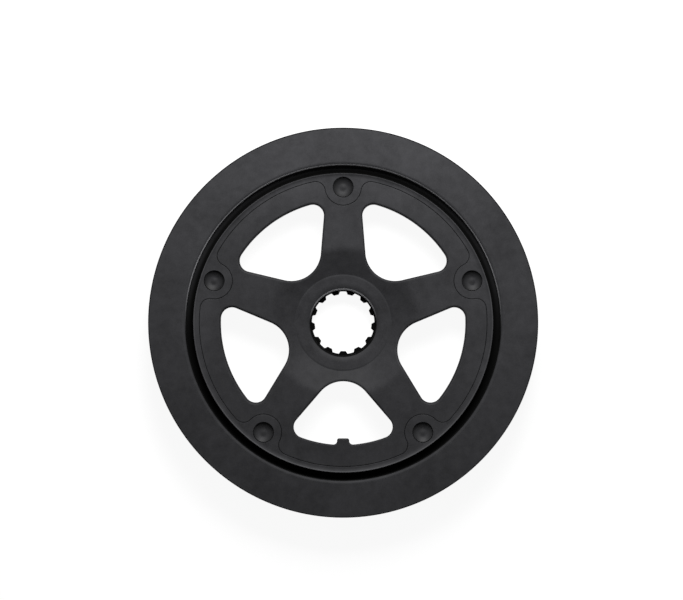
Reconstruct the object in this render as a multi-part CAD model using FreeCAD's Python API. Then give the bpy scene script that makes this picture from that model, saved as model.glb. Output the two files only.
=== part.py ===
"""Bicycle chainring for a splined drive shaft, with spider, toothed ring, chain guard and rivets.

The part lies on the back of its hub with its outer side up: the axis is +Z, the origin is the
centre of the hub's back face, and +Y points at one of the five rivets. Millimetres throughout.
"""
import FreeCAD
import Part
import math
import os

# Chain and teeth
tooth_count = 38
chain_pitch = 12.7
roller_diameter = 7.75
link_plate_height = 8.6
chain_width = 6.6
tooth_tip_height = 2.6
tooth_tip_rounding = 0.5
tooth_bevel_reach = 4.0
tooth_bevel_depth = 0.6
ring_thickness = 2.1
roller_seat_share = 0.505
flank_share = 0.12
widest_seat_angle = 140.0
seat_angle_loss = 90.0

# Splined bore and hub
spline_count = 13
spline_root_radius = 13.95
spline_tooth_height = 1.3
spline_tip_width = 2.1
spline_base_width = 3.9
bore_back_chamfer = 0.6
hub_length = 10.0
hub_back_radius = 19.5
hub_back_bevel = 0.8
pilot_radius = 14.5
pilot_depth = 3.9
pilot_rounding = 2.5
boss_radius = 21.4
boss_step = 0.12
boss_shoulder = 1.0

# Dished web and arms
arm_count = 5
dish_rise = 4.67
dish_radius = 32.7
dish_bend_radius = 8.0
dish_web = 5.2
arm_width_hub = 21.15
arm_width_rim = 15.8
window_outer_corner = 4.9
window_inner_corner = 13.2
tab_width = 4.8
tab_height = 2.75
tab_base_fillet = 1.3
tab_tip_rounding = 0.9

# Rim of the spider
rim_thickness = 4.0
seat_depth = 2.4
rim_beyond_rivets = 4.6
window_to_rivets = 5.75

# Seat of the toothed ring on the spider's back
register_height = 0.8
register_beyond_window = 3.3
ear_radius = 6.5
ear_fillet = 3.0

# Chain guard
guard_overhang = 4.8
guard_thickness = 2.3
guard_edge_bevel = 0.5
guard_inner_rounding = 1.9
skirt_wall = 1.5
groove_width = 3.15
groove_floor = 1.5
lip_wall = 1.85
lip_height = 0.56
lip_crest_width = 0.35
lip_slope_width = 1.2
lip_fillet = 3.4
seam_overlap = 0.85
lobe_radius = 7.95
lobe_fillet = 4.4

# Rivets
rivet_shank_radius = 3.0
rivet_head_radius = 4.55
rivet_head_height = 1.45
rivet_rim_width = 0.3
rivet_dish_depth = 1.25
rivet_pip_radius = 2.0
rivet_pip_height = 0.2
rivet_pocket_depth = 1.9
rivet_tail_radius = 4.6
rivet_tail_height = 1.7
rivet_tail_bevel = 0.8

# Clearances
chain_clearance_radial = 1.5
chain_clearance_axial = 1.0
rim_clearance = 0.15
seam_clearance = 0.2
register_clearance = 0.1
rivet_head_clearance = 0.15
rivet_shank_clearance = 0.05

# Radii worked out from the chain inwards
pitch_radius = chain_pitch / 2 / math.sin(math.pi / tooth_count)
guard_radius = pitch_radius + link_plate_height / 2 + guard_overhang
skirt_radius = pitch_radius - link_plate_height / 2 - chain_clearance_radial
groove_outer_radius = skirt_radius - skirt_wall
groove_inner_radius = groove_outer_radius - groove_width
guard_pocket_radius = groove_inner_radius - lip_wall
rim_radius = guard_pocket_radius - rim_clearance
seam_radius = rim_radius - seam_overlap
rivet_circle_radius = rim_radius - rim_beyond_rivets
window_radius = rivet_circle_radius - window_to_rivets
register_radius = window_radius + register_beyond_window

# Heights above the hub's back face
boss_face = hub_length
dish_foot = boss_face - boss_step
spider_face = dish_foot + dish_rise
seat_face = spider_face - seat_depth
rim_back = spider_face - rim_thickness
arm_back = rim_back - register_height
ring_front = rim_back
ring_back = ring_front - ring_thickness
ring_middle = (ring_front + ring_back) / 2
guard_back = ring_middle + chain_width / 2 + chain_clearance_axial
guard_face = guard_back + guard_thickness
rivet_pocket_floor = spider_face - rivet_pocket_depth

# Spacing of the arms, rivets and windows
arm_step = 360.0 / arm_count
first_rivet_angle = 90.0
tab_window_angle = first_rivet_angle + arm_step * (arm_count // 2 + 0.5)

origin = FreeCAD.Vector(0, 0, 0)
up = FreeCAD.Vector(0, 0, 1)
overlap = 1.0


def flat(x, y):
    """A point in the plan, on the plane of the hub's back face."""
    return FreeCAD.Vector(x, y, 0)


def section(radius, height):
    """A point in the half section that is turned about the axis."""
    return FreeCAD.Vector(radius, 0, height)


def line(start, end):
    return Part.LineSegment(start, end).toShape()


def arc(start, middle, end):
    return Part.Arc(start, middle, end).toShape()


def round_corner(centre, start, end):
    """The shorter arc about a centre from one tangent point to the other."""
    radius = (start - centre).Length
    outward = ((start - centre) + (end - centre)).normalize()
    return arc(start, centre + outward * radius, end)


def rounded_face(corners):
    """A flat face inside straight sides, each corner given as a point and its rounding radius."""
    points = [point for point, _ in corners]
    arrivals = []
    departures = []
    rounds = []
    for index, (point, radius) in enumerate(corners):
        back = (points[index - 1] - point).normalize()
        ahead = (points[(index + 1) % len(points)] - point).normalize()
        half_angle = back.getAngle(ahead) / 2
        reach = radius / math.tan(half_angle)
        arrivals.append(point + back * reach)
        departures.append(point + ahead * reach)
        bisector = (back + ahead).normalize()
        rounds.append(point + bisector * (radius / math.sin(half_angle)) if radius else None)
    edges = []
    for index, centre in enumerate(rounds):
        if centre:
            edges.append(round_corner(centre, arrivals[index], departures[index]))
        edges.append(line(departures[index], arrivals[(index + 1) % len(points)]))
    return Part.Face(Part.Wire(edges))


def turned(corners):
    """A solid of revolution about the axis from a half section with rounded corners."""
    return rounded_face(corners).revolve(origin, up, 360)


def prism(wires, bottom, top):
    """A plan outline, with any inner outlines as holes, raised from one height to another."""
    face = Part.makeFace(wires, "Part::FaceMakerBullseye")
    face.translate(up * bottom)
    return face.extrude(up * (top - bottom))


def cylinder(radius, bottom, top, centre=origin):
    return Part.makeCylinder(radius, top - bottom, centre + up * bottom)


def spun(shape, angle):
    """A copy of a shape turned about the axis, in degrees."""
    copy = shape.copy()
    copy.rotate(origin, up, angle)
    return copy


def rivet_places():
    """The rivets' centres, in the plan."""
    return [spun(Part.Vertex(rivet_circle_radius, 0, 0), first_rivet_angle + arm_step * index).Point
            for index in range(arm_count)]


def rivet_holes(radius, bottom, top):
    """Upright cylinders about every rivet's centre."""
    return [cylinder(radius, bottom, top, place) for place in rivet_places()]


def lobed_outline(rim, lobe, fillet):
    """A circle about the axis that swings in round each rivet.

    Each lobe is a circle about the rivet, joined to the rim circle by two tangent fillets.
    """
    fillet_orbit = rim - fillet
    lobe_centre = flat(rivet_circle_radius, 0)
    along = (fillet_orbit ** 2 + rivet_circle_radius ** 2 - (lobe + fillet) ** 2) / (2 * rivet_circle_radius)
    across = math.sqrt(fillet_orbit ** 2 - along ** 2)
    ends = []
    edges = []
    for side in (-1, 1):
        centre = flat(along, side * across)
        on_rim = centre * (rim / fillet_orbit)
        on_lobe = lobe_centre + (centre - lobe_centre) * (lobe / (lobe + fillet))
        edges.append(round_corner(centre, on_rim, on_lobe))
        ends.append((on_rim, on_lobe))
    edges.append(arc(ends[0][1], flat(rivet_circle_radius - lobe, 0), ends[1][1]))
    next_start = spun(Part.Vertex(ends[0][0]), arm_step).Point
    middle = spun(Part.Vertex(rim, 0, 0), arm_step / 2).Point
    edges.append(arc(ends[1][0], middle, next_start))
    lobes = []
    for index in range(arm_count):
        lobes += [spun(edge, first_rivet_angle + arm_step * index) for edge in edges]
    return Part.Wire(Part.sortEdges(lobes)[0])


def seam_outline(inset):
    """Outline of the spider's front face, where the guard's flange begins, moved in by an inset."""
    return lobed_outline(seam_radius - inset, lobe_radius + inset, lobe_fillet - inset)


def ear_outline(inset):
    """Inner outline of the toothed ring, with an ear round each rivet, moved in by an inset."""
    return lobed_outline(register_radius - inset, ear_radius + inset, ear_fillet - inset)


def window_outline(with_tab):
    """One window between two arms, drawn on +X: straight tapering sides and an arc at the rim."""
    half_step = math.radians(arm_step / 2)
    taper = math.asin((arm_width_hub - arm_width_rim) / 2 / (window_radius - boss_radius))
    slant = half_step + taper
    apex = (arm_width_hub / 2 + boss_radius * math.sin(taper)) / math.sin(slant)
    inner_centre = flat(apex + window_inner_corner / math.sin(slant), 0)
    outer_orbit = window_radius - window_outer_corner
    edges = []
    rim_ends = {}
    inner_ends = {}
    for side in (-1, 1):
        along_side = flat(math.cos(slant), side * math.sin(slant))
        into_window = flat(math.sin(slant), -side * math.cos(slant))
        base = flat(apex, 0) + into_window * window_outer_corner
        middle = base.dot(along_side)
        run = math.sqrt(middle ** 2 - base.dot(base) + outer_orbit ** 2) - middle
        centre = base + along_side * run
        on_side = centre - into_window * window_outer_corner
        rim_ends[side] = centre * (window_radius / outer_orbit)
        inner_ends[side] = inner_centre - into_window * window_inner_corner
        edges.append(round_corner(centre, on_side, rim_ends[side]))
        edges.append(line(inner_ends[side], on_side))
    edges.append(round_corner(inner_centre, inner_ends[-1], inner_ends[1]))
    if with_tab:
        edges += tab_edges(rim_ends)
    else:
        edges.append(arc(rim_ends[-1], flat(window_radius, 0), rim_ends[1]))
    return Part.Wire(Part.sortEdges(edges)[0])


def tab_edges(rim_ends):
    """The rim side of the window that carries the small tab, which points at the axis."""
    half_width = tab_width / 2
    tip = window_radius - tab_height
    base_orbit = window_radius - tab_base_fillet
    edges = []
    tip_ends = []
    for side in (-1, 1):
        across = half_width + tab_base_fillet
        centre = flat(math.sqrt(base_orbit ** 2 - across ** 2), side * across)
        on_rim = centre * (window_radius / base_orbit)
        on_tab = flat(centre.x, side * half_width)
        corner = flat(tip + tab_tip_rounding, side * (half_width - tab_tip_rounding))
        above = flat(corner.x, side * half_width)
        below = flat(tip, corner.y)
        middle = (on_rim + rim_ends[side]).normalize() * window_radius
        edges.append(arc(rim_ends[side], middle, on_rim))
        edges.append(round_corner(centre, on_rim, on_tab))
        edges.append(line(on_tab, above))
        edges.append(round_corner(corner, above, below))
        tip_ends.append(below)
    edges.append(line(*tip_ends))
    return edges


def spline_outline():
    """The bore's outline: a root circle with straight-flanked teeth that point at the axis."""
    tip_radius = spline_root_radius - spline_tooth_height
    half_tip = math.asin(spline_tip_width / 2 / tip_radius)
    half_base = math.asin(spline_base_width / 2 / spline_root_radius)
    step = 2 * math.pi / spline_count

    def on(radius, angle):
        return flat(radius * math.cos(angle), radius * math.sin(angle))

    tooth = [line(on(spline_root_radius, -half_base), on(tip_radius, -half_tip)),
             arc(on(tip_radius, -half_tip), on(tip_radius, 0), on(tip_radius, half_tip)),
             line(on(tip_radius, half_tip), on(spline_root_radius, half_base)),
             arc(on(spline_root_radius, half_base), on(spline_root_radius, step / 2),
                 on(spline_root_radius, step - half_base))]
    edges = []
    for index in range(spline_count):
        edges += [spun(edge, tab_window_angle + 360.0 * index / spline_count) for edge in tooth]
    return Part.Wire(Part.sortEdges(edges)[0])


def make_spider():
    slope = dish_rise / (dish_radius - boss_radius)
    web_foot = dish_foot - (boss_radius - hub_back_radius) * slope - dish_web
    web_top_radius = boss_radius + (arm_back + dish_web - dish_foot) / slope
    pilot_floor = boss_face - pilot_depth
    blank = turned([
        (section(0, 0), 0),
        (section(0, pilot_floor), 0),
        (section(pilot_radius, pilot_floor), 0),
        (section(pilot_radius, boss_face), pilot_rounding),
        (section(boss_radius - boss_shoulder, boss_face), 0),
        (section(boss_radius, dish_foot), 0),
        (section(dish_radius, spider_face), dish_bend_radius),
        (section(rim_radius, spider_face), 0),
        (section(rim_radius, arm_back), 0),
        (section(web_top_radius, arm_back), 0),
        (section(hub_back_radius, web_foot), 0),
        (section(hub_back_radius, hub_back_bevel), 0),
        (section(hub_back_radius - hub_back_bevel, 0), 0),
    ])
    bore = prism([spline_outline()], -overlap, pilot_floor + overlap)
    tip_radius = spline_root_radius - spline_tooth_height
    chamfer_radius = spline_root_radius + bore_back_chamfer
    lead_in = Part.makeCone(chamfer_radius, tip_radius, chamfer_radius - tip_radius)
    spider = blank.cut([bore, lead_in])

    outlines = []
    for index in range(arm_count):
        angle = tab_window_angle + arm_step * index
        outlines.append(spun(window_outline(with_tab=index == 0), angle))
    windows = [prism([outline], -overlap, guard_face) for outline in outlines]

    surround = Part.Wire(Part.makeCircle(rim_radius + overlap))
    guard_seat = prism([surround, seam_outline(seam_clearance)], seat_face, guard_face)
    ring_seat = prism([surround, ear_outline(register_clearance)], 0, rim_back)
    spider = spider.cut(windows + [guard_seat, ring_seat])
    shank_room = rivet_shank_radius + rivet_shank_clearance
    return spider.cut(rivet_holes(shank_room, 0, guard_face))


def make_chain_guard():
    lip_top = spider_face + lip_height
    crest_start = groove_inner_radius - lip_crest_width
    lip_foot = crest_start - lip_slope_width
    ring = turned([
        (section(seam_radius, seat_face), 0),
        (section(seam_radius, spider_face), 0),
        (section(lip_foot, spider_face), lip_fillet),
        (section(crest_start, lip_top), 0),
        (section(groove_inner_radius, lip_top), 0),
        (section(groove_inner_radius, ring_front + groove_floor), 0),
        (section(groove_outer_radius, ring_front + groove_floor), 0),
        (section(groove_outer_radius, guard_face), guard_inner_rounding),
        (section(guard_radius - guard_edge_bevel, guard_face), 0),
        (section(guard_radius, guard_face - guard_edge_bevel), 0),
        (section(guard_radius, guard_back + guard_edge_bevel), 0),
        (section(guard_radius - guard_edge_bevel, guard_back), 0),
        (section(skirt_radius, guard_back), 0),
        (section(skirt_radius, ring_front), 0),
        (section(guard_pocket_radius, ring_front), 0),
        (section(guard_pocket_radius, seat_face), 0),
    ])
    flange_edge = Part.Wire(Part.makeCircle((seam_radius + guard_pocket_radius) / 2))
    flange = prism([flange_edge, seam_outline(0)], seat_face, spider_face)
    guard = ring.fuse(flange).removeSplitter()
    pockets = rivet_holes(rivet_head_radius + rivet_head_clearance, rivet_pocket_floor, guard_face)
    holes = rivet_holes(rivet_shank_radius + rivet_shank_clearance, 0, guard_face)
    return guard.cut(pockets + holes)


def tooth_gap():
    """One pitch of the toothed outline, drawn on +X: a roller seat, two flanks and a tip.

    The seat is an arc about the roller's centre on the pitch circle. Each flank is a tangent arc
    that bulges into the gap. The seat's span and the flank's radius follow the chain standard.
    """
    seat_radius = roller_seat_share * roller_diameter
    flank_radius = flank_share * roller_diameter * (tooth_count + 2)
    half_seat = math.radians(widest_seat_angle - seat_angle_loss / tooth_count) / 2
    tip_radius = pitch_radius + tooth_tip_height
    roller = flat(pitch_radius, 0)
    tip_angle = math.pi / tooth_count
    edges = []
    seat_ends = []
    tip_ends = {}
    for side in (-1, 1):
        to_seat_end = flat(-math.cos(half_seat), side * math.sin(half_seat))
        seat_end = roller + to_seat_end * seat_radius
        flank_centre = roller + to_seat_end * (seat_radius + flank_radius)
        # The tip corner is rounded by a circle inside both the flank circle and the tip circle.
        corner_orbit = tip_radius - tooth_tip_rounding
        corner_reach = flank_radius - tooth_tip_rounding
        span = flank_centre.Length
        bearing = math.atan2(flank_centre.y, flank_centre.x)
        spread = math.acos((span ** 2 + corner_orbit ** 2 - corner_reach ** 2) / (2 * span * corner_orbit))
        corner_angle = bearing - side * spread
        corner = flat(math.cos(corner_angle), math.sin(corner_angle)) * corner_orbit
        on_tip = corner * (tip_radius / corner_orbit)
        on_flank = flank_centre + (corner - flank_centre) * (flank_radius / corner_reach)
        edges.append(round_corner(flank_centre, seat_end, on_flank))
        edges.append(round_corner(corner, on_flank, on_tip))
        seat_ends.append(seat_end)
        tip_ends[side] = on_tip
    edges.append(arc(seat_ends[0], flat(pitch_radius - seat_radius, 0), seat_ends[1]))
    tip_middle = flat(math.cos(tip_angle), math.sin(tip_angle)) * tip_radius
    next_tip = spun(Part.Vertex(tip_ends[-1]), 360.0 / tooth_count).Point
    edges.append(arc(tip_ends[1], tip_middle, next_tip))
    return edges


def make_toothed_ring():
    edges = []
    for index in range(tooth_count):
        edges += [spun(edge, 360.0 * index / tooth_count) for edge in tooth_gap()]
    teeth = Part.Wire(Part.sortEdges(edges)[0])
    ring = prism([teeth, ear_outline(0)], ring_back, ring_front)
    tip_radius = pitch_radius + tooth_tip_height
    bevel_start = tip_radius - tooth_bevel_reach
    bevelled_blank = turned([
        (section(0, ring_back), 0),
        (section(0, ring_front), 0),
        (section(bevel_start, ring_front), 0),
        (section(tip_radius, ring_front - tooth_bevel_depth), 0),
        (section(tip_radius, ring_back + tooth_bevel_depth), 0),
        (section(bevel_start, ring_back), 0),
    ])
    ring = ring.common(bevelled_blank)
    return ring.cut(rivet_holes(rivet_shank_radius + rivet_shank_clearance, 0, guard_face))


def cap_radius(chord_radius, depth):
    """Radius of the circle whose cap has this half chord and depth."""
    return (chord_radius ** 2 + depth ** 2) / (2 * depth)


def make_rivets():
    """Five rivets whose heads are dished round a low broad pip, sunk into the guard's lobes."""
    head_top = rivet_pocket_floor + rivet_head_height
    dish_floor = head_top - rivet_dish_depth
    dish_edge = rivet_head_radius - rivet_rim_width
    pip_top = dish_floor + rivet_pip_height
    tail_end = ring_back - rivet_tail_height

    # Both arcs of the head are level at one end, the pip's on the axis and the dish's at its floor.
    half_pip = rivet_pip_radius / 2
    pip_round = cap_radius(rivet_pip_radius, rivet_pip_height)
    pip_fall = pip_round - math.sqrt(pip_round ** 2 - half_pip ** 2)
    half_wall = (dish_edge - rivet_pip_radius) / 2
    wall_round = cap_radius(dish_edge - rivet_pip_radius, rivet_dish_depth)
    wall_rise = wall_round - math.sqrt(wall_round ** 2 - half_wall ** 2)
    floor = section(rivet_pip_radius, dish_floor)
    edge = section(dish_edge, head_top)
    sides = [
        edge,
        section(rivet_head_radius, head_top),
        section(rivet_head_radius, rivet_pocket_floor),
        section(rivet_shank_radius, rivet_pocket_floor),
        section(rivet_shank_radius, ring_back),
        section(rivet_tail_radius, ring_back),
        section(rivet_tail_radius, tail_end + rivet_tail_bevel),
        section(rivet_tail_radius - rivet_tail_bevel, tail_end),
        section(0, tail_end),
        section(0, pip_top),
    ]
    edges = [line(start, end) for start, end in zip(sides, sides[1:])]
    edges.append(arc(section(0, pip_top), section(half_pip, pip_top - pip_fall), floor))
    edges.append(arc(floor, section(rivet_pip_radius + half_wall, dish_floor + wall_rise), edge))
    rivet = Part.Face(Part.Wire(edges)).revolve(origin, up, 360)
    rivets = []
    for place in rivet_places():
        copy = rivet.copy()
        copy.translate(place)
        rivets.append(copy)
    return Part.makeCompound(rivets)


def main():
    os.makedirs("parts", exist_ok=True)
    pieces = {
        "spider": make_spider(),
        "chain_guard": make_chain_guard(),
        "toothed_ring": make_toothed_ring(),
        "rivets": make_rivets(),
    }
    for name, shape in pieces.items():
        shape.exportStep("parts/" + name + ".step")
        box = shape.BoundBox
        print(name, len(shape.Solids), "solids, valid", shape.isValid(), "volume", round(shape.Volume),
              "box", [round(v, 2) for v in (box.XMin, box.YMin, box.ZMin, box.XMax, box.YMax, box.ZMax)])


main()
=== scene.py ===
"""Bicycle chainring with a chain guard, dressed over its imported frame.

The part lies on the back of its hub with its outer side up. Surfaces are worked out in millimetres
about the axis, +Z, with +Y at one rivet, and are scaled into metres when they become meshes.
"""
import math

import bmesh
import bpy
import numpy as np
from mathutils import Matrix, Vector
from mathutils.geometry import delaunay_2d_cdt


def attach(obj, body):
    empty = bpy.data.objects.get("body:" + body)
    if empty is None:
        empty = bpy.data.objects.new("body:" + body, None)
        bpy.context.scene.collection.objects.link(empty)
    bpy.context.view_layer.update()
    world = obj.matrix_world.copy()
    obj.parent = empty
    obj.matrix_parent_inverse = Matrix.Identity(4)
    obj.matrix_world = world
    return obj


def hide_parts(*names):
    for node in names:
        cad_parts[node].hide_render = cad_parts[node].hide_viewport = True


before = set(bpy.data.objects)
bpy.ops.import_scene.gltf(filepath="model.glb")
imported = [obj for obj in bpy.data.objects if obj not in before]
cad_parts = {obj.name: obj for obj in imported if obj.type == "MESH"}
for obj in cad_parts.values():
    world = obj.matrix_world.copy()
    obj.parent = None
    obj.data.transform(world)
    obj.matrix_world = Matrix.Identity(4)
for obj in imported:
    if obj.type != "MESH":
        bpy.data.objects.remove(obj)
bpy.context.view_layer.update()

millimetre = 0.001

# Chain and teeth
tooth_count = 38
chain_pitch = 12.7
roller_diameter = 7.75
link_plate_height = 8.6
tooth_tip_height = 2.6
tooth_tip_rounding = 0.5
tooth_bevel_reach = 4.0
tooth_bevel_depth = 0.6
roller_seat_share = 0.505
flank_share = 0.12
widest_seat_angle = 140.0
seat_angle_loss = 90.0
pitch_radius = chain_pitch / 2 / math.sin(math.pi / tooth_count)

# Heights above the hub's back face
boss_face = 10.0
dish_foot = 9.96
spider_face = 14.55
seat_face = 12.15
ring_front = 10.55
arm_back = 9.75
ring_back = 8.45
guard_back = 13.8
guard_face = 16.1

# Splined bore and hub
spline_count = 13
spline_root_radius = 13.95
spline_tip_radius = 12.65
spline_tip_width = 2.1
spline_base_width = 3.9
bore_chamfer_radius = 14.55
pilot_radius = 14.5
pilot_floor = 6.1
pilot_rounding = 1.2
pilot_bevel_angle = 24.0
pilot_bevel_radius = 16.44
pilot_bevel_rounding = 6.8
boss_dip = 0.36
boss_radius = 21.4
boss_shoulder = 0.7
boss_edge_rounding = 0.8
boss_foot_rounding = 0.5
hub_back_radius = 19.5
hub_back_bevel = 0.8
hub_back_rounding = 0.3
web_foot_rounding = 1.0
hub_patch_radius = 24.0

# Dished web, arms and windows
arm_count = 5
dish_radius = 32.7
dish_bend_radius = 8.0
dish_web = 5.2
arm_width_hub = 21.15
arm_width_rim = 15.8
window_outer_corner = 4.9
window_inner_corner = 13.2
tab_width = 5.4
tab_height = 2.9
tab_base_fillet = 1.6
tab_tip_rounding = 0.9

# Chain guard, worked inwards from the chain
guard_overhang = 4.8
guard_rim_rounding = 0.35
guard_back_rounding = 0.6
chain_clearance = 1.5
skirt_wall = 1.6
skirt_root_rounding = 0.8
skirt_foot_rounding = 0.3
groove_width = 3.25
groove_floor = 12.05
groove_floor_rounding = 0.3
groove_rounding = 1.6
lip_wall = 1.65
lip_corner = 15.42
lip_rounding = 0.3
lip_slope_width = 1.26
lip_fillet = 2.7
guard_radius = pitch_radius + link_plate_height / 2 + guard_overhang
skirt_radius = pitch_radius - link_plate_height / 2 - chain_clearance
groove_outer_radius = skirt_radius - skirt_wall
groove_inner_radius = groove_outer_radius - groove_width
guard_pocket_radius = groove_inner_radius - lip_wall

# Seam, rim and register of the toothed ring
rim_clearance = 0.15
seam_overlap = 0.85
seam_clearance = 0.12
lobe_radius = 7.95
lobe_fillet = 4.4
rim_beyond_rivets = 4.6
window_to_rivets = 5.75
register_beyond_window = 3.3
register_clearance = 0.1
rim_radius = guard_pocket_radius - rim_clearance
seam_radius = rim_radius - seam_overlap
rivet_circle_radius = rim_radius - rim_beyond_rivets
window_radius = rivet_circle_radius - window_to_rivets
register_radius = window_radius + register_beyond_window
ear_radius = 6.5
ear_fillet = 3.0

# Rivets
rivet_hole_radius = 3.05
rivet_pocket_radius = 4.55
rivet_pocket_floor = 12.65
rivet_shank_radius = 3.0
rivet_head_radius = 4.4
rivet_head_top = 13.8
rivet_rim_width = 0.15
rivet_dish_depth = 1.25
rivet_pip_radius = 2.2
rivet_pip_height = 0.38
rivet_tail_radius = 4.6
rivet_tail_end = 6.75
rivet_tail_bevel = 0.8
rivet_edge_rounding = 0.12
rivet_tail_roundings = (0.1, 0.3, 0.5)

# Roundings that catch the light along the edges
window_edge = 0.6
window_front_edge = 1.1
window_edge_easing = (0.75, 0.9)
seam_edge = 0.22
pocket_edge = 0.15
hidden_edge = 0.15
rivet_blend = 0.15
edge_margin = 0.1
edge_steps = 5

# Circles where flat faces meet turned ones
lip_circle_inset = 0.565
lip_circle = groove_inner_radius - lip_circle_inset
flange_circle = 64.0
rim_circle = 64.1

# Places round the axis
arm_step = 2 * math.pi / arm_count
first_rivet_angle = math.pi / 2
tab_window_angle = first_rivet_angle + arm_step * (arm_count // 2 + 0.5)

# Points along the runs of the outlines
lobe_fillet_points = 16
lobe_points = 40
lobe_rim_points = 48
window_inner_points = 44
window_side_points = 30
window_outer_points = 20
window_rim_points = 64
tab_fillet_points = 10
tab_side_points = 3
tab_corner_points = 8
tab_tip_points = 6
spline_flank_points = 4
spline_tip_points = 6
spline_root_points = 8
tooth_corner_points = 5
tooth_flank_points = 6
tooth_seat_points = 14
tooth_tip_points = 4

# Fineness of the meshes: angles of turned faces, and extra points inside curved sheets
round_angles = np.linspace(0, 2 * math.pi, 360, endpoint=False)
rivet_angles = round_angles[::6]
hole_angles = round_angles[::9]
round_step_angle = 12
least_round_steps = 4
rivet_head_rows = 40
rivet_blend_rows = 15
fill_spacing = 0.9
dish_fill_step = 0.7
dish_fill_beyond = 3.0
dish_fill_gap = 0.45
lip_fill_step = 0.2
lip_fill_inset = 0.15
lip_fill_gap = 0.12
tooth_fill_circles = (68.0, pitch_radius - 5.0)
bevel_fill_offsets = (-0.1, 0.0, 0.1, 1.5)
tooth_fill_gap = 0.3
triangles_inside = 1
triangulation_margin = 1e-5
weld_distance = 0.002
sharp_angle = 34


# Paths in the plan: points and normals that point out of what the path encloses

def ray(angle):
    """Unit vectors in the plan at these angles."""
    return np.stack([np.cos(angle), np.sin(angle)], axis=-1)


def arc_run(centre, radius, start, end, count, turn=1):
    """Centre plus radius times a ray that swings from start to end, without the last point.

    turn is 1 for counterclockwise and -1 for clockwise.
    """
    swing = turn * ((turn * (end - start)) % (2 * math.pi))
    rays = ray(start + swing * np.arange(count) / count)
    return np.asarray(centre) + radius * rays, turn * rays


def line_run(start, end, count):
    """Start plus an even share of the way to the end, without the last point."""
    start = np.asarray(start)
    way = np.asarray(end) - start
    normal = np.array([way[1], -way[0]]) / np.hypot(*way)
    return start + way * (np.arange(count) / count)[:, None], np.tile(normal, (count, 1))


def joined(runs):
    """Runs laid end to end as one path."""
    return np.concatenate([run[0] for run in runs]), np.concatenate([run[1] for run in runs])


def spun(path, angle):
    """A path turned about the axis."""
    turn = np.array([[math.cos(angle), math.sin(angle)], [-math.sin(angle), math.cos(angle)]])
    return path[0] @ turn, path[1] @ turn


def repeated(path, count, first):
    """Equal copies of a run round the axis, the first one at an angle."""
    return joined([spun(path, first + 2 * math.pi * index / count) for index in range(count)])


def circle(radius, angles=round_angles, centre=(0.0, 0.0)):
    """Centre plus radius times a ray at each angle."""
    return np.asarray(centre) + radius * ray(angles), ray(angles)


def lobed_path(rim, lobe, fillet):
    """A circle about the axis that swings in round each rivet.

    Each lobe is a circle about the rivet, joined to the rim circle by two tangent fillets.
    """
    orbit = rim - fillet
    along = (orbit ** 2 + rivet_circle_radius ** 2 - (lobe + fillet) ** 2) / (2 * rivet_circle_radius)
    across = math.sqrt(orbit ** 2 - along ** 2)
    lean = math.atan2(across, along)
    bearing = math.atan2(across, rivet_circle_radius - along)
    rivet = (rivet_circle_radius, 0.0)
    swing = joined([
        arc_run((along, -across), fillet, -lean, bearing, lobe_fillet_points),
        arc_run(rivet, lobe, math.pi + bearing, math.pi - bearing, lobe_points, turn=-1),
        arc_run((along, across), fillet, -bearing, lean, lobe_fillet_points),
        arc_run((0.0, 0.0), rim, lean, arm_step - lean, lobe_rim_points),
    ])
    return repeated(swing, arm_count, first_rivet_angle)


def seam_path(inset):
    """Outline of the spider's front face, moved in by an inset."""
    return lobed_path(seam_radius - inset, lobe_radius + inset, lobe_fillet - inset)


def ear_path(inset):
    """Inner outline of the toothed ring with an ear round each rivet, moved in by an inset."""
    return lobed_path(register_radius - inset, ear_radius + inset, ear_fillet - inset)


def window_rounding(path, with_tab):
    """The front edge's rounding at each point of a window, eased to a narrower one beside the tab."""
    radius = np.hypot(path[0][:, 0], path[0][:, 1])
    start, end = window_edge_easing
    share = np.clip((radius / window_radius - start) / (end - start), 0, 1) if with_tab else 0 * radius
    return window_front_edge + (window_edge - window_front_edge) * share ** 2 * (3 - 2 * share)


def window_path(with_tab):
    """One window on +X: straight tapering sides, four tangent corner arcs and an arc at the rim."""
    taper = math.asin((arm_width_hub - arm_width_rim) / 2 / (window_radius - boss_radius))
    slant = arm_step / 2 + taper
    apex = (arm_width_hub / 2 + boss_radius * math.sin(taper)) / math.sin(slant)
    inner_centre = np.array([apex + window_inner_corner / math.sin(slant), 0.0])
    along_side = np.array([math.cos(slant), math.sin(slant)])
    into_window = np.array([math.sin(slant), -math.cos(slant)])
    orbit = window_radius - window_outer_corner
    base = np.array([apex, 0.0]) + into_window * window_outer_corner
    middle = base @ along_side
    outer_centre = base + along_side * (math.sqrt(middle ** 2 - base @ base + orbit ** 2) - middle)
    bearing = math.atan2(outer_centre[1], outer_centre[0])
    inner_end = inner_centre - into_window * window_inner_corner
    outer_end = outer_centre - into_window * window_outer_corner
    mirror = np.array([1.0, -1.0])
    side_normal = math.pi / 2 + slant
    if with_tab:
        rim_runs = tab_runs(bearing)
    else:
        rim_runs = [arc_run((0.0, 0.0), window_radius, -bearing, bearing, window_rim_points)]
    return joined([
        arc_run(inner_centre, window_inner_corner, side_normal, -side_normal, window_inner_points),
        line_run(inner_end * mirror, outer_end * mirror, window_side_points),
        arc_run(outer_centre * mirror, window_outer_corner, -side_normal, -bearing, window_outer_points),
        *rim_runs,
        arc_run(outer_centre, window_outer_corner, bearing, side_normal, window_outer_points),
        line_run(outer_end, inner_end, window_side_points),
    ])


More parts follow.
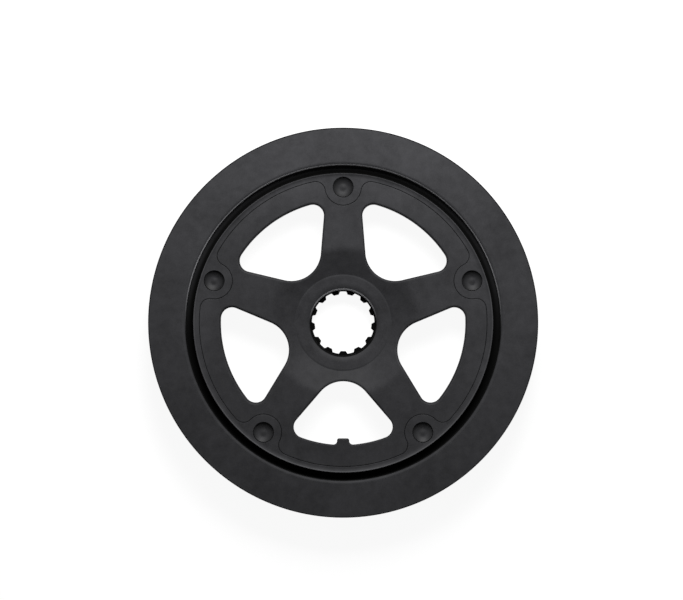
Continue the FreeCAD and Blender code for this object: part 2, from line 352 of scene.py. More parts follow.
def tab_runs(bearing):
    """The rim side of the window with the small tab, which points at the axis."""
    half_width = tab_width / 2
    tip = window_radius - tab_height
    base_orbit = window_radius - tab_base_fillet
    across = half_width + tab_base_fillet
    base_x = math.sqrt(base_orbit ** 2 - across ** 2)
    base_angle = math.atan2(across, base_x)
    corner_x = tip + tab_tip_rounding
    corner_y = half_width - tab_tip_rounding
    corners = [(corner_x, -corner_y), (corner_x, corner_y)]
    quarter = math.pi / 2
    half_rim_points = window_rim_points // 2
    return [
        arc_run((0.0, 0.0), window_radius, -bearing, -base_angle, half_rim_points),
        arc_run((base_x, -across), tab_base_fillet, -base_angle, quarter, tab_fillet_points),
        line_run((base_x, -half_width), (corner_x, -half_width), tab_side_points),
        arc_run(corners[0], tab_tip_rounding, 3 * quarter, 2 * quarter, tab_corner_points, turn=-1),
        line_run((tip, -corner_y), (tip, corner_y), tab_tip_points),
        arc_run(corners[1], tab_tip_rounding, 2 * quarter, quarter, tab_corner_points, turn=-1),
        line_run((corner_x, half_width), (base_x, half_width), tab_side_points),
        arc_run((base_x, across), tab_base_fillet, -quarter, base_angle, tab_fillet_points),
        arc_run((0.0, 0.0), window_radius, base_angle, bearing, half_rim_points),
    ]


def spline_path():
    """The bore's outline: a root circle with straight-flanked teeth that point at the axis."""
    half_tip = math.asin(spline_tip_width / 2 / spline_tip_radius)
    half_base = math.asin(spline_base_width / 2 / spline_root_radius)
    step = 2 * math.pi / spline_count
    roots = [spline_root_radius * ray(angle) for angle in (-half_base, half_base)]
    tips = [spline_tip_radius * ray(angle) for angle in (-half_tip, half_tip)]
    tooth = joined([
        line_run(roots[0], tips[0], spline_flank_points),
        arc_run((0.0, 0.0), spline_tip_radius, -half_tip, half_tip, spline_tip_points),
        line_run(tips[1], roots[1], spline_flank_points),
        arc_run((0.0, 0.0), spline_root_radius, half_base, step - half_base, spline_root_points),
    ])
    return repeated(tooth, spline_count, tab_window_angle)


def tooth_path():
    """The toothed outline: for each pitch a roller seat, two bulging flanks and a rounded tip."""
    seat_radius = roller_seat_share * roller_diameter
    flank_radius = flank_share * roller_diameter * (tooth_count + 2)
    half_seat = math.radians(widest_seat_angle - seat_angle_loss / tooth_count) / 2
    seat_ends = (math.pi + half_seat, math.pi - half_seat)
    tip_radius = pitch_radius + tooth_tip_height
    roller = np.array([pitch_radius, 0.0])
    flank_centre = roller + ray(math.pi - half_seat) * (seat_radius + flank_radius)
    corner_orbit = tip_radius - tooth_tip_rounding
    corner_reach = flank_radius - tooth_tip_rounding
    span = np.hypot(*flank_centre)
    spread = math.acos((span ** 2 + corner_orbit ** 2 - corner_reach ** 2) / (2 * span * corner_orbit))
    corner_angle = math.atan2(flank_centre[1], flank_centre[0]) - spread
    corner = corner_orbit * ray(corner_angle)
    flank_start = math.atan2(*(roller - flank_centre)[::-1])
    flank_end = math.atan2(*(corner - flank_centre)[::-1])
    mirror = np.array([1.0, -1.0])
    pitch_angle = 2 * math.pi / tooth_count
    gap = joined([
        arc_run(corner * mirror, tooth_tip_rounding, -corner_angle, -flank_end, tooth_corner_points),
        arc_run(flank_centre * mirror, flank_radius, -flank_end, -flank_start, tooth_flank_points),
        arc_run(roller, seat_radius, *seat_ends, tooth_seat_points, turn=-1),
        arc_run(flank_centre, flank_radius, flank_start, flank_end, tooth_flank_points),
        arc_run(corner, tooth_tip_rounding, flank_end, corner_angle, tooth_corner_points),
        arc_run((0.0, 0.0), tip_radius, corner_angle, pitch_angle - corner_angle, tooth_tip_points),
    ])
    return repeated(gap, tooth_count, 0.0)


def rivet_centres():
    """The rivet circle's radius times a ray at each arm."""
    return rivet_circle_radius * ray(first_rivet_angle + arm_step * np.arange(arm_count))


# Surfaces: patches of points and faces

def moved(path, reach):
    """A path moved along its normals, as loop points."""
    return path[0] + path[1] * reach


def carried(path, reach):
    """Plan of a profile carried along a path: each point of the path plus each reach along its normal.

    The reaches are one row for the whole path, or a row for each of its points.
    """
    return path[0][:, None] + path[1][:, None] * np.asarray(reach)[..., None]


def closed_grid(plan, height):
    """Faces between the neighbours of a grid that closes on itself along its first direction."""
    rows, columns = plan.shape[:2]
    height = np.broadcast_to(height, (rows, columns))
    points = np.concatenate([plan, height[..., None]], axis=2).reshape(-1, 3)
    here = np.arange(rows * columns).reshape(rows, columns)
    after = np.roll(here, -1, axis=0)
    faces = np.stack([here[:, :-1], after[:, :-1], after[:, 1:], here[:, 1:]], axis=-1)
    return points, faces.reshape(-1, 4)


def edge_rows(radius):
    """Reach into the material and drop below the face along a quarter round, with a row each side."""
    angle = np.linspace(0, math.pi / 2, edge_steps + 1)
    reach = np.concatenate([[radius + edge_margin], radius * (1 - np.sin(angle)), [0.0]])
    drop = np.concatenate([[0.0], radius * (1 - np.cos(angle)), [radius + edge_margin]])
    return reach, drop


def section_line(corners):
    """Points of a half section through corners of radius, height and rounding.

    A rounding is an arc tangent to both sides of its corner, with a point just before and after it.
    """
    corners = np.array(corners, dtype=float)
    points = [corners[:1, :2]]
    for before, corner, after in zip(corners[:-2], corners[1:-1], corners[2:]):
        spot = corner[:2]
        rounding = corner[2]
        if rounding == 0:
            points.append(spot[None])
            continue
        back = (before[:2] - spot) / np.hypot(*(before[:2] - spot))
        ahead = (after[:2] - spot) / np.hypot(*(after[:2] - spot))
        half_angle = math.acos(back @ ahead) / 2
        reach = rounding / math.tan(half_angle)
        bisector = (back + ahead) / np.hypot(*(back + ahead))
        centre = spot + bisector * rounding / math.sin(half_angle)
        start = spot + back * reach - centre
        end = spot + ahead * reach - centre
        swing = math.pi - 2 * half_angle
        steps = max(least_round_steps, math.ceil(math.degrees(swing) / round_step_angle))
        share = np.linspace(0, 1, steps + 1)[:, None]
        arc = (np.sin((1 - share) * swing) * start + np.sin(share * swing) * end) / math.sin(swing)
        before_arc = centre + start[None] + back * edge_margin
        after_arc = centre + end[None] + ahead * edge_margin
        points += [before_arc, centre + arc, after_arc]
    return np.concatenate(points + [corners[-1:, :2]])


def turned(section, angles=round_angles):
    """A half section turned about the axis: radius times a ray, at the section's height."""
    return closed_grid(ray(angles)[:, None] * section[:, :1], section[:, 1])


def within(points, loop):
    """Whether points lie inside a loop: a line to their right crosses it an odd number of times."""
    start = loop
    end = np.roll(loop, -1, axis=0)
    level = points[:, 1:]
    spans = (start[:, 1] > level) != (end[:, 1] > level)
    rise = np.where(end[:, 1] == start[:, 1], 1.0, end[:, 1] - start[:, 1])
    crossing = start[:, 0] + (level - start[:, 1]) * (end[:, 0] - start[:, 0]) / rise
    return (spans & (crossing > points[:, :1])).sum(axis=1) % 2 == 1


def clear_of(points, loops, gap):
    """The points that are at least a gap away from every point of the loops."""
    edge = np.concatenate(loops)
    distance = np.hypot(points[:, None, 0] - edge[:, 0], points[:, None, 1] - edge[:, 1])
    return points[distance.min(axis=1) > gap]


def polar_points(radii, spacing):
    """Points on circles about the axis, about a spacing apart."""
    rings = []
    for index, radius in enumerate(radii):
        count = round(2 * math.pi * radius / spacing)
        rings.append(radius * ray(2 * math.pi * (np.arange(count) + index % 2 / 2) / count))
    return np.concatenate(rings)


def trimmed_sheet(loops, height, fill=None):
    """A sheet over the plan, as high everywhere as a function of the distance from the axis says.

    It is triangulated between closed loops, with more points inside where it is curved, and keeps
    the triangles whose middle lies inside an odd number of the loops.
    """
    points = np.concatenate(loops if fill is None else [*loops, fill])
    starts = np.cumsum([0] + [len(loop) for loop in loops[:-1]])
    edges = np.concatenate([
        np.stack([first + np.arange(len(loop)), first + np.roll(np.arange(len(loop)), -1)], axis=1)
        for first, loop in zip(starts, loops)
    ])
    plan, _, faces, *_ = delaunay_2d_cdt(
        points.tolist(), edges.tolist(), [], triangles_inside, triangulation_margin)
    plan = np.array(plan)
    faces = np.array(faces)
    middles = plan[faces].mean(axis=1)
    enclosed = sum(within(middles, loop).astype(int) for loop in loops)
    faces = faces[enclosed % 2 == 1]
    radius = np.hypot(plan[:, 0], plan[:, 1])
    return np.column_stack([plan, height(radius)]), faces


def flat_at(level):
    """The height function of a level face."""
    return lambda radius: np.full_like(radius, level)


def section_height(corners):
    """The height function of a half section whose radius only grows."""
    line = section_line(corners)
    return lambda radius: np.interp(radius, line[:, 0], line[:, 1])


def make_piece(name, node, patches, finish):
    """Welds patches into one closed mesh with outward faces and puts it in its node's place."""
    points = np.concatenate([patch[0] for patch in patches]) * millimetre
    starts = np.cumsum([0] + [len(patch[0]) for patch in patches[:-1]])
    faces = [face for first, patch in zip(starts, patches) for face in (first + patch[1]).tolist()]
    mesh = bpy.data.meshes.new(name)
    mesh.from_pydata(points, [], faces)
    shell = bmesh.new()
    shell.from_mesh(mesh)
    bmesh.ops.remove_doubles(shell, verts=shell.verts, dist=weld_distance * millimetre)
    loose = [vert for vert in shell.verts if not vert.link_faces]
    bmesh.ops.delete(shell, geom=loose, context="VERTS")
    bmesh.ops.recalc_face_normals(shell, faces=shell.faces)
    shell.to_mesh(mesh)
    shell.free()
    mesh.shade_smooth()
    mesh.set_sharp_from_angle(angle=math.radians(sharp_angle))
    mesh.materials.append(finish)
    piece = bpy.data.objects.new(name, mesh)
    bpy.context.scene.collection.objects.link(piece)
    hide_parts(node)
    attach(piece, "root")


# Pieces

def window_paths():
    """The five windows in their places, the one with the tab first."""
    return [spun(window_path(with_tab=index == 0), tab_window_angle + arm_step * index)
            for index in range(arm_count)]


def spider_patches():
    """Dished five-arm carrier: turned hub, trimmed front and back sheets and rounded edges between."""
    slope = (spider_face - dish_foot) / (dish_radius - boss_radius)
    web_foot = dish_foot - (boss_radius - hub_back_radius) * slope - dish_web
    web_top_radius = boss_radius + (arm_back + dish_web - dish_foot) / slope
    front = section_height([
        (boss_radius, dish_foot, 0),
        (dish_radius, spider_face, dish_bend_radius),
        (rim_radius, spider_face, 0),
    ])
    back = section_height([
        (hub_back_radius, web_foot, 0),
        (web_top_radius, arm_back, dish_bend_radius),
        (rim_radius, arm_back, 0),
    ])
    patches = []

    # Splined bore with its chamfer at the back
    bore = spline_path()
    bore_radius = np.hypot(bore[0][:, 0], bore[0][:, 1])
    bore_angles = np.arctan2(bore[0][:, 1], bore[0][:, 0])
    bore_ray = ray(bore_angles)
    bore_rows = [bore_ray * pilot_radius, bore[0], bore[0], bore_ray * bore_chamfer_radius]
    chamfer_top = bore_chamfer_radius - bore_radius
    level = np.full_like(bore_radius, pilot_floor)
    bore_height = np.stack([level, level, chamfer_top, 0 * level], axis=1)
    patches.append(closed_grid(np.stack(bore_rows, axis=1), bore_height))

    # Turned front and back of the hub
    bevel_top = boss_face - boss_dip
    bevel_slope = math.tan(math.radians(pilot_bevel_angle))
    bevel_foot = bevel_top - (pilot_bevel_radius - pilot_radius) * bevel_slope
    patches.append(turned(section_line([
        (pilot_radius, pilot_floor, 0),
        (pilot_radius, bevel_foot, pilot_rounding),
        (pilot_bevel_radius, bevel_top, pilot_bevel_rounding),
        (boss_radius - boss_shoulder, boss_face, boss_edge_rounding),
        (boss_radius, dish_foot, boss_foot_rounding),
        (hub_patch_radius, front(hub_patch_radius), 0),
    ]), bore_angles))
    patches.append(turned(section_line([
        (bore_chamfer_radius, 0, 0),
        (hub_back_radius - hub_back_bevel, 0, hub_back_rounding),
        (hub_back_radius, hub_back_bevel, hub_back_rounding),
        (hub_back_radius, web_foot, web_foot_rounding),
        (hub_patch_radius, back(hub_patch_radius), 0),
    ]), bore_angles))
    hub_loop = hub_patch_radius * bore_ray

    # Windows, rounded at the front and the back
    reach, drop = edge_rows(1.0)
    window_loops = []
    back_window_loops = []
    for index, path in enumerate(window_paths()):
        front_edge = window_rounding(path, index == 0)[:, None]
        front_plan = carried(path, front_edge * reach)
        back_plan = carried(path, window_edge * reach[::-1])
        front_height = front(np.hypot(front_plan[..., 0], front_plan[..., 1])) - front_edge * drop
        back_height = back(np.hypot(back_plan[..., 0], back_plan[..., 1])) + window_edge * drop[::-1]
        patches.append(closed_grid(np.concatenate([front_plan, back_plan], axis=1),
                                   np.concatenate([front_height, back_height], axis=1)))
        window_loops.append(front_plan[:, 0])
        back_window_loops.append(back_plan[:, -1])

    # Front sheet, with the seat of the guard's flange round it
    seat = seam_path(seam_clearance)
    reach, drop = edge_rows(seam_edge)
    patches.append(closed_grid(carried(seat, [*-reach, 0.0]), [*(spider_face - drop), seat_face]))
    dish_end = dish_radius + dish_fill_beyond
    dish_rings = np.arange(hub_patch_radius + dish_fill_step, dish_end, dish_fill_step)
    dish_fill = polar_points(dish_rings, fill_spacing)
    front_loops = [moved(seat, -reach[0]), hub_loop, *window_loops]
    patches.append(trimmed_sheet(front_loops, front, clear_of(dish_fill, front_loops, dish_fill_gap)))

    # Rim that the guard and the toothed ring are riveted to
    holes = [circle(rivet_hole_radius, hole_angles, centre) for centre in rivet_centres()]
    hole_loops = [hole[0] for hole in holes]
    rim_loop = rim_circle * ray(round_angles)
    patches.append(trimmed_sheet([rim_loop, seat[0], *hole_loops], flat_at(seat_face)))
    patches.append(turned(section_line([
        (rim_circle, seat_face, 0),
        (rim_radius, seat_face, hidden_edge),
        (rim_radius, ring_front, hidden_edge),
        (rim_circle, ring_front, 0),
    ])))
    patches += [closed_grid(carried(hole, [0.0, 0.0]), [seat_face, ring_front]) for hole in holes]
    register = ear_path(register_clearance)
    patches.append(trimmed_sheet([rim_loop, register[0], *hole_loops], flat_at(ring_front)))

    # Back sheet inside the register of the toothed ring
    reach, drop = edge_rows(hidden_edge)
    register_plan = carried(register, [0.0, *-reach[::-1]])
    patches.append(closed_grid(register_plan, [ring_front, *(arm_back + drop[::-1])]))
    back_loops = [moved(register, -reach[0]), hub_loop, *back_window_loops]
    patches.append(trimmed_sheet(back_loops, back, clear_of(dish_fill, back_loops, dish_fill_gap)))
    return patches


def chain_guard_patches():
    """Moulded guard: a turned section with groove and lip, and a lobed flange with rivet pockets."""
    land = section_height([
        (window_radius, spider_face, 0),
        (groove_inner_radius - lip_slope_width, spider_face, lip_fillet),
        (groove_inner_radius, lip_corner, 0),
    ])
    patches = [turned(section_line([
        (lip_circle, land(lip_circle), 0),
        (groove_inner_radius, lip_corner, lip_rounding),
        (groove_inner_radius, groove_floor, groove_floor_rounding),
        (groove_outer_radius, groove_floor, groove_floor_rounding),
        (groove_outer_radius, guard_face, groove_rounding),
        (guard_radius, guard_face, guard_rim_rounding),
        (guard_radius, guard_back, guard_back_rounding),
        (skirt_radius, guard_back, skirt_root_rounding),
        (skirt_radius, ring_front, skirt_foot_rounding),
        (guard_pocket_radius, ring_front, skirt_foot_rounding),
        (guard_pocket_radius, seat_face, hidden_edge),
        (flange_circle, seat_face, 0),
    ]))]
    lip_loop = lip_circle * ray(round_angles)
    seam = seam_path(0.0)
    reach, drop = edge_rows(seam_edge)
    patches.append(closed_grid(carried(seam, [*reach, 0.0]), [*(spider_face - drop), seat_face]))
    top_loops = [lip_loop, moved(seam, reach[0])]
    back_loops = [flange_circle * ray(round_angles), seam[0]]
    reach, drop = edge_rows(pocket_edge)
    ledge = rivet_hole_radius - rivet_pocket_radius
    for centre in rivet_centres():
        pocket = circle(rivet_pocket_radius, rivet_angles, centre)
        plan = carried(pocket, [*reach, 0.0, ledge, ledge])
        height = np.full(plan.shape[:2], rivet_pocket_floor)
        height[:, :len(reach)] = land(np.hypot(plan[:, :len(reach), 0], plan[:, :len(reach), 1])) - drop
        height[:, -1] = seat_face
        patches.append(closed_grid(plan, height))
        top_loops.append(moved(pocket, reach[0]))
        back_loops.append(moved(pocket, ledge))
    slope_rings = np.arange(flange_circle, lip_circle - lip_fill_inset, lip_fill_step)
    slope_fill = clear_of(polar_points(slope_rings, fill_spacing), top_loops, lip_fill_gap)
    patches.append(trimmed_sheet(top_loops, land, slope_fill))
    patches.append(trimmed_sheet(back_loops, flat_at(seat_face)))
    return patches


def toothed_ring_patches():
    """Flat steel ring: toothed outside with bevelled tips, eared inside, drilled for the rivets."""
    tip_radius = pitch_radius + tooth_tip_height
    bevel_start = tip_radius - tooth_bevel_reach

    def bevel(radius):
        """How far a face falls back towards the tips, evenly from where the bevel starts."""
        return np.clip((radius - bevel_start) / tooth_bevel_reach, 0, None) * tooth_bevel_depth

    teeth = tooth_path()
    ears = ear_path(0.0)
    reach, drop = edge_rows(hidden_edge)
    patches = []
    outlines = [(teeth, -1), (ears, 1)]
    outlines += [(circle(rivet_hole_radius, hole_angles, centre), 1) for centre in rivet_centres()]
    for path, side in outlines:
        plan = carried(path, side * np.concatenate([reach, reach[::-1]]))
        fall = bevel(np.hypot(plan[..., 0], plan[..., 1]))
        fall[:, :len(reach)] += drop
        fall[:, len(reach):] += drop[::-1]
        heights = [ring_front - fall[:, :len(reach)], ring_back + fall[:, len(reach):]]
        patches.append(closed_grid(plan, np.concatenate(heights, axis=1)))
    loops = [moved(path, side * reach[0]) for path, side in outlines]
    rings = [*tooth_fill_circles, *(bevel_start + np.array(bevel_fill_offsets))]
    fill = clear_of(polar_points(rings, fill_spacing), loops, tooth_fill_gap)
    patches.append(trimmed_sheet(loops, lambda radius: ring_front - bevel(radius), fill))
    patches.append(trimmed_sheet(loops, lambda radius: ring_back + bevel(radius), fill))
    return patches


def rivet_patches():
    """Five turned rivets: a head dished round a low pip, a shank and a bevelled tail.

    The dish is a cap of a sphere, and the pip in its middle half a cosine wave. Their heights are
    averaged over a short reach, so that the dish runs smoothly over its rim.
    """
    dish_edge = rivet_head_radius - rivet_rim_width
    dish_floor = rivet_head_top - rivet_dish_depth
    dish_round = (dish_edge ** 2 + rivet_dish_depth ** 2) / (2 * rivet_dish_depth)

    def head_height(across):
        """Height of the sphere's cap plus the pip at a distance from the rivet's middle."""
        dish = dish_round - np.sqrt(dish_round ** 2 - np.clip(across, 0, dish_edge) ** 2)
        pip = 0.5 + 0.5 * np.cos(math.pi * np.clip(across / rivet_pip_radius, 0, 1))
        return dish_floor + dish + pip * rivet_pip_height

    across = np.linspace(0.0, dish_edge, rivet_head_rows)
    spread = np.abs(across[:, None] + np.linspace(-rivet_blend, rivet_blend, rivet_blend_rows))
    head = np.column_stack([across, head_height(spread).mean(axis=1)])
    sides = section_line([
        (dish_edge, head[-1, 1], 0),
        (rivet_head_radius, head[-1, 1], rivet_edge_rounding),
        (rivet_head_radius, rivet_pocket_floor, 0),
        (rivet_shank_radius, rivet_pocket_floor, 0),
        (rivet_shank_radius, ring_back, 0),
        (rivet_tail_radius, ring_back, rivet_tail_roundings[0]),
        (rivet_tail_radius, rivet_tail_end + rivet_tail_bevel, rivet_tail_roundings[1]),
        (rivet_tail_radius - rivet_tail_bevel, rivet_tail_end, rivet_tail_roundings[2]),
        (0.0, rivet_tail_end, 0),
    ])
    points, faces = turned(np.concatenate([head[:-1], sides]), rivet_angles)
    return [(points + np.array([*centre, 0.0]), faces) for centre in rivet_centres()]


# Finishes

# Painted shade: the near black laid over recesses and over steep rivet walls
painted_shade_black = (0.0015, 0.0015, 0.0015)
# Painted highlight and painted light: the pale grey laid along rounded edges and on the lower rivets
painted_light_grey = (0.5, 0.5, 0.52)

# Painted shade on steep faces: full below the first upright part of the normal, gone above the second
steep_shade = (0.35, 0.8, (0.012, 0.012, 0.0125))
dish_steep_shade = (0.8, 0.99, painted_shade_black)
window_steep_shade = (0.6, 0.972, (0.006, 0.006, 0.0063))
steep_shade_cover = 0.8

# Handling marks and grain, with sizes in millimetres, and what they add to tone and roughness
cloud_marks = {"size": 24.0, "detail": 5.0, "roughness": 0.62}
mottle_marks = {"size": 4.0, "detail": 3.0, "roughness": 0.6}
middle_tone = 0.5
cloud_tone = 1.5
mottle_tone = 1.2
grain_tone = 0.9
tone_spread = 0.28
cloud_roughness = -0.16
grain_roughness = 0.12
# Roughness added where the painted shade and the painted light lie
recess_roughness = 0.4
painted_light_roughness = -0.2
grain_bump = 0.35
grain_depth = 0.02

# How far bands of painted shade and painted highlight shift on the +Y side, in millimetres, and how
# strong they are
bore_recess_shift = 0.5
lip_recess_shift = 0.2
lip_recess_top_shift = 0.1
groove_recess_shift = 0.4
highlight_top_shift = 0.1
groove_wall_paling = 0.5
groove_edge_highlight = 0.8
groove_edge_top_highlight = 0.15
crest_highlight = 0.045
crest_near_highlight = 0.06
crest_top_highlight = 0.04
# The spider's rim is made very faintly paler from here out to the seam
rim_paling_start = 54.0
rim_paling = 0.009
# Painted shade on the rivet towards +Y, and painted light on the two rivets towards -Y
first_rivet_painted_shade = 0.14
low_rivets_painted_light = 0.024


class Socket:
    """A socket of a material's nodes. Arithmetic on it adds Math nodes to the same tree."""

    def __init__(self, tree, socket):
        self.tree = tree
        self.socket = socket

    def add(self, kind, settings=None, inputs=None, output=0):
        """Adds a node: its settings first, then the values or links of its sockets."""
        node = self.tree.nodes.new(kind)
        for name, value in (settings or {}).items():
            setattr(node, name, value)
        for name, value in (inputs or {}).items():
            if isinstance(value, Socket):
                self.tree.links.new(value.socket, node.inputs[name])
            else:
                node.inputs[name].default_value = value
        return Socket(self.tree, node.outputs[output])

    def math(self, operation, *values):
        """A Math node on these values."""
        return self.add("ShaderNodeMath", {"operation": operation}, dict(enumerate(values)))

    def __add__(self, other):
        return self.math("ADD", self, other)

    def __radd__(self, other):
        return self.math("ADD", other, self)

    def __sub__(self, other):
        return self.math("SUBTRACT", self, other)

    def __rsub__(self, other):
        return self.math("SUBTRACT", other, self)

    def __mul__(self, other):
        return self.math("MULTIPLY", self, other)

    def __rmul__(self, other):
        return self.math("MULTIPLY", other, self)

    def __truediv__(self, other):
        return self.math("DIVIDE", self, other)

    def rise(self, low, high):
        """0 below low, 1 above high and a smooth rise between."""
        inputs = {"Value": self, "From Min": low, "From Max": high}
        return self.add("ShaderNodeMapRange", {"interpolation_type": "SMOOTHSTEP"}, inputs)

    def fall(self, low, high):
        """1 below low, 0 above high and a smooth fall between."""
        return 1 - self.rise(low, high)

    def blend(self, low, high):
        """The colour from low to high that this value, from 0 to 1, picks."""
        inputs = {"Factor": self, 6: (*low, 1.0), 7: (*high, 1.0)}
        return self.add("ShaderNodeMix", {"data_type": "RGBA"}, inputs, 2)

    def over(self, below, colour):
        """A colour laid over another one as thickly as this value, from 0 to 1, says."""
        inputs = {"Factor": self, 6: below, 7: (*colour, 1.0)}
        return self.add("ShaderNodeMix", {"data_type": "RGBA"}, inputs, 2)


def new_finish(name):
    """A material with one Principled shader, and the object's coordinates and normals to paint it by."""
    material = bpy.data.materials.new(name)
    material.use_nodes = True
    tree = material.node_tree
    shader = tree.nodes["Principled BSDF"]
    spots = tree.nodes.new("ShaderNodeTexCoord").outputs
    return material, shader, Socket(tree, spots["Object"]), Socket(tree, spots["Normal"])


def noise(place, size, detail=2.0, roughness=0.5):
    """Noise about 0 whose features are about a size in millimetres across."""
    scale = 1 / (size * millimetre)
    inputs = {"Vector": place, "Scale": scale, "Detail": detail, "Roughness": roughness}
    return place.add("ShaderNodeTexNoise", None, inputs, "Fac") - 0.5


def round_the_axis(place):
    """Distance from the axis and height in millimetres, and how far round towards +Y, from -1 to 1."""
    flat = place.add("ShaderNodeVectorMath", {"operation": "MULTIPLY"}, {0: place, 1: (1.0, 1.0, 0.0)})
    across = flat.add("ShaderNodeVectorMath", {"operation": "LENGTH"}, {0: flat}, "Value")
    up = place.add("ShaderNodeSeparateXYZ", None, {0: place}, "Z")
    ahead = place.add("ShaderNodeSeparateXYZ", None, {0: place}, "Y")
    return across / millimetre, up / millimetre, ahead / across


def matte_black(name, middle, roughness, grain_size, masks=None,
                specular=0.1, edge=steep_shade, highlight_metalness=0.0):
    """A matte black with cloudy handling marks and a fine grain, with painted shade on steep edges.

    middle is its mean colour and grain_size is in millimetres. Its masks say where painted shade makes
    it near black inside recesses and where painted light makes it paler, and highlight_metalness is how
    metallic the painted light is.
    """
    material, shader, place, normal = new_finish(name)
    tree = material.node_tree
    cloud = noise(place, **cloud_marks)
    mottle = noise(place, **mottle_marks)
    grain = noise(place, grain_size)
    tone = cloud * cloud_tone + mottle * mottle_tone + grain * grain_tone + middle_tone
    tone = tone.math("MINIMUM", tone.math("MAXIMUM", tone, 0.0), 1.0)
    darkest = [(1 - tone_spread) * part for part in middle]
    palest = [(1 + tone_spread) * part for part in middle]
    # Painted shade: faces that turn away from up are darkened towards a dark colour
    upright = normal.add("ShaderNodeSeparateXYZ", None, {0: normal}, "Z")
    full_below, gone_above, steep_shade_colour = edge
    steep = upright.math("ABSOLUTE", upright).fall(full_below, gone_above)
    colour = (steep * steep_shade_cover).over(tone.blend(darkest, palest), steep_shade_colour)
    rough = cloud * cloud_roughness + grain * grain_roughness + roughness
    if masks:
        # Painted shade near black in recesses, and painted light paler along edges, as the masks say
        painted_shade, painted_light = masks(*round_the_axis(place))
        colour = painted_light.over(painted_shade.over(colour, painted_shade_black), painted_light_grey)
        rough = rough + painted_shade * recess_roughness + painted_light * painted_light_roughness
        if highlight_metalness:
            tree.links.new((painted_light * highlight_metalness).socket, shader.inputs["Metallic"])
    relief = {"Height": grain, "Strength": grain_bump, "Distance": grain_depth * millimetre}
    bump = grain.add("ShaderNodeBump", None, relief)
    shader.inputs["Specular IOR Level"].default_value = specular
    tree.links.new(colour.socket, shader.inputs["Base Color"])
    tree.links.new(rough.socket, shader.inputs["Roughness"])
    tree.links.new(bump.socket, shader.inputs["Normal"])
    return material


def bore_masks(across, up, ahead):
    """Painted shade: near black on the splines and the pilot bore's wall, with more of its rounded edge
    towards -Y.

    Painted highlight: that edge paler towards +Y, above the bore's floor; and the spider's rim very
    faintly paler.
    """
    far = ahead.rise(0.0, 0.95)
    top = ahead.rise(0.7, 1.0)
    beyond = across - pilot_radius
    # Painted shade in the bore, reaching further out towards -Y
    painted_shade = (beyond + ahead.rise(-0.6, 0.2) * bore_recess_shift).fall(0.45, 0.95)
    # Painted highlight along the rounded edge of the pilot bore towards +Y
    edge = beyond.rise(-0.25, -0.05) * (beyond - top * highlight_top_shift).fall(0.38, 0.72)
    off_floor = up.rise(pilot_floor + 0.5, pilot_floor + 1)
    rim = across.rise(rim_paling_start, seam_radius)
    return painted_shade, edge * far * off_floor + rim * rim_paling


def groove_masks(across, up, ahead):
    """Painted shade: near black inside the guard's groove, less so at its lit outer side towards +Y, and
    on the outer rim.

    Painted highlight: paler on the rounded outer edge of the groove towards +Y, and faintly on the crest
    of the lip.
    """
    far = ahead.rise(-0.1, 0.5)
    top = ahead.rise(0.6, 1.0)
    near = ahead.fall(-0.9, -0.2)
    beyond = across - groove_outer_radius
    shifted = across + far * lip_recess_shift + top * lip_recess_top_shift
    # Painted shade inside the groove and on the guard's outer rim
    past_lip = shifted.rise(groove_inner_radius - 0.1, groove_inner_radius + 0.05)
    before_face = (beyond + far * groove_recess_shift).fall(0.15, 0.5)
    groove = past_lip * before_face * up.fall(guard_face - 0.9, guard_face - 0.4)
    lit_wall = across.rise(groove_inner_radius + 0.8, groove_outer_radius - 0.2) * far
    rim = across.rise(guard_radius - 0.6, guard_radius - 0.25)
    painted_shade = groove * (1 - lit_wall * groove_wall_paling) + rim
    # Painted highlight on the groove's outer edge and on the lip's crest, stronger towards +Y
    edge = beyond.rise(-0.2, 0.0) * (beyond - top * highlight_top_shift).fall(0.2, 0.55)
    edge = edge * far * up.rise(guard_face - 2.3, guard_face - 1.7)
    crest = across.rise(groove_inner_radius - 0.8, groove_inner_radius - 0.4)
    crest = crest * (1 - groove) * beyond.fall(-1.5, -1.0)
    edge_highlight = groove_edge_highlight + top * groove_edge_top_highlight
    lip_highlight = near * crest_near_highlight + top * crest_top_highlight + crest_highlight
    return painted_shade, edge * edge_highlight + crest * lip_highlight


def rivet_masks(across, up, ahead):
    """Painted shade: the rivet on +Y a little darker. Painted light: the two rivets towards -Y a little
    paler.
    """
    return ahead.rise(0.5, 1.0) * first_rivet_painted_shade, ahead.fall(-0.8, -0.3) * low_rivets_painted_light


def make_finishes():
    """The finish of each slot."""
    aluminium = matte_black(
        "black_aluminium", middle=(0.0335, 0.0335, 0.036), roughness=0.56, grain_size=0.5,
        masks=bore_masks, edge=window_steep_shade, highlight_metalness=0.16)
    nylon = matte_black(
        "black_nylon", middle=(0.0365, 0.0365, 0.0392), roughness=0.58, grain_size=0.45,
        masks=groove_masks)
    steel = matte_black(
        "black_steel", middle=(0.028, 0.028, 0.029), roughness=0.42, grain_size=0.4)
    rivet = matte_black(
        "rivet_steel", middle=(0.028, 0.028, 0.030), roughness=0.48, grain_size=0.35,
        masks=rivet_masks, specular=0.15, edge=dish_steep_shade)
    return {
        "black_aluminium": aluminium,
        "black_nylon": nylon,
        "black_steel": steel,
        "rivet_steel": rivet,
    }


# Stage, with lengths in metres and the guard's place in the picture in pixels

floor_half = 1.5
floor_level = -0.0002
floor_grey = (0.2, 0.2, 0.2, 1.0)
white = (1.0, 1.0, 1.0, 1.0)
floor_glow = 0.92
sky_strength = 0.1
lamp_place = (0.025, 0.245, 0.235)
lamp_target = (0.0, 0.0, 0.01)
lamp_size = (0.22, 0.18)
lamp_power = 1.58
camera_distance = 1.2
image_width, image_height = 683, 600
guard_x, guard_y, guard_pixels = 343.15, 322.7, 195.1


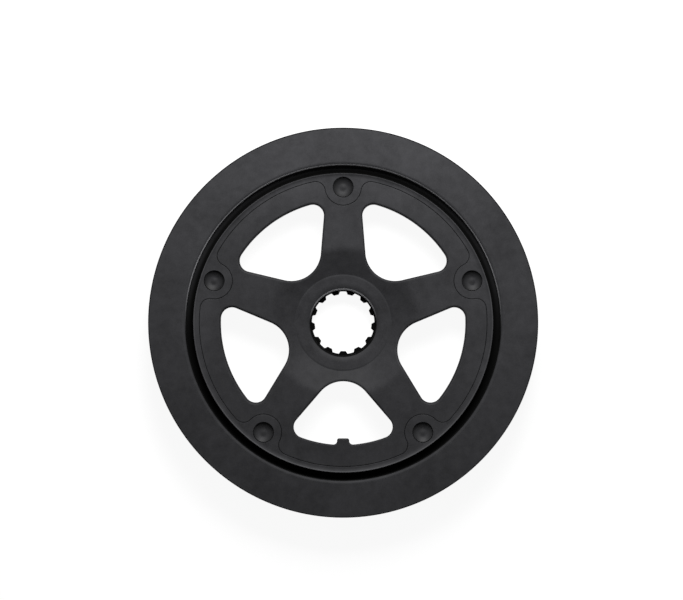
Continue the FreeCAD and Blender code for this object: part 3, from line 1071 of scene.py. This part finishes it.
def make_floor():
    """A pale floor that looks white to the camera and in reflections, and still takes the shadow."""
    mesh = bpy.data.meshes.new("floor")
    square = np.array([(-1, -1), (1, -1), (1, 1), (-1, 1)]) * floor_half
    mesh.from_pydata([(x, y, floor_level) for x, y in square.tolist()], [], [(0, 1, 2, 3)])
    floor = bpy.data.objects.new("floor", mesh)
    bpy.context.scene.collection.objects.link(floor)
    material = bpy.data.materials.new("pale_floor")
    material.use_nodes = True
    tree = material.node_tree
    tree.nodes.clear()
    out = tree.nodes.new("ShaderNodeOutputMaterial")
    rays = tree.nodes.new("ShaderNodeLightPath").outputs
    seen = Socket(tree, rays["Is Camera Ray"])
    seen = seen.math("MAXIMUM", seen, Socket(tree, rays["Is Glossy Ray"]))
    seen = seen.math("MAXIMUM", seen, Socket(tree, rays["Is Transmission Ray"]))
    diffuse = seen.add("ShaderNodeBsdfDiffuse", None, {"Color": floor_grey})
    glow = seen.add("ShaderNodeEmission", None, {"Color": white, "Strength": seen * floor_glow})
    both = seen.add("ShaderNodeAddShader", None, {0: diffuse, 1: glow})
    tree.links.new(both.socket, out.inputs["Surface"])
    mesh.materials.append(material)


def make_world():
    """A dim even sky."""
    world = bpy.data.worlds.new("studio")
    bpy.context.scene.world = world
    world.use_nodes = True
    light = world.node_tree.nodes["Background"]
    light.inputs["Color"].default_value = white
    light.inputs["Strength"].default_value = sky_strength


def make_lamp():
    """A soft rectangular lamp that faces the part."""
    lamp = bpy.data.lights.new("window_light", "AREA")
    lamp.shape = "RECTANGLE"
    lamp.size, lamp.size_y = lamp_size
    lamp.energy = lamp_power
    holder = bpy.data.objects.new("window_light", lamp)
    holder.location = lamp_place
    facing = Vector(lamp_target) - Vector(lamp_place)
    holder.rotation_euler = facing.to_track_quat("-Z", "Y").to_euler()
    bpy.context.scene.collection.objects.link(holder)


def make_camera():
    """A long lens straight above, placed so that the guard sits where the photograph has it."""
    per_pixel = guard_radius * millimetre / guard_pixels
    camera = bpy.data.cameras.new("camera")
    camera.lens = camera.sensor_width * camera_distance / (image_width * per_pixel)
    camera.shift_x = (image_width / 2 - guard_x) / image_width
    camera.shift_y = (guard_y - image_height / 2) / image_width
    holder = bpy.data.objects.new("camera", camera)
    holder.location = (0.0, 0.0, guard_face * millimetre + camera_distance)
    bpy.context.scene.collection.objects.link(holder)
    bpy.context.scene.camera = holder


finishes = make_finishes()
for name, node, slot, patches in (
    ("spider_shell", "spider", "black_aluminium", spider_patches()),
    ("guard_shell", "chain_guard", "black_nylon", chain_guard_patches()),
    ("toothed_plate", "toothed_ring", "black_steel", toothed_ring_patches()),
    ("rivet_set", "rivets", "rivet_steel", rivet_patches()),
):
    make_piece(name, node, patches, finishes[slot])

make_floor()
make_world()
make_lamp()
make_camera()
bpy.context.scene.view_settings.view_transform = "Standard"
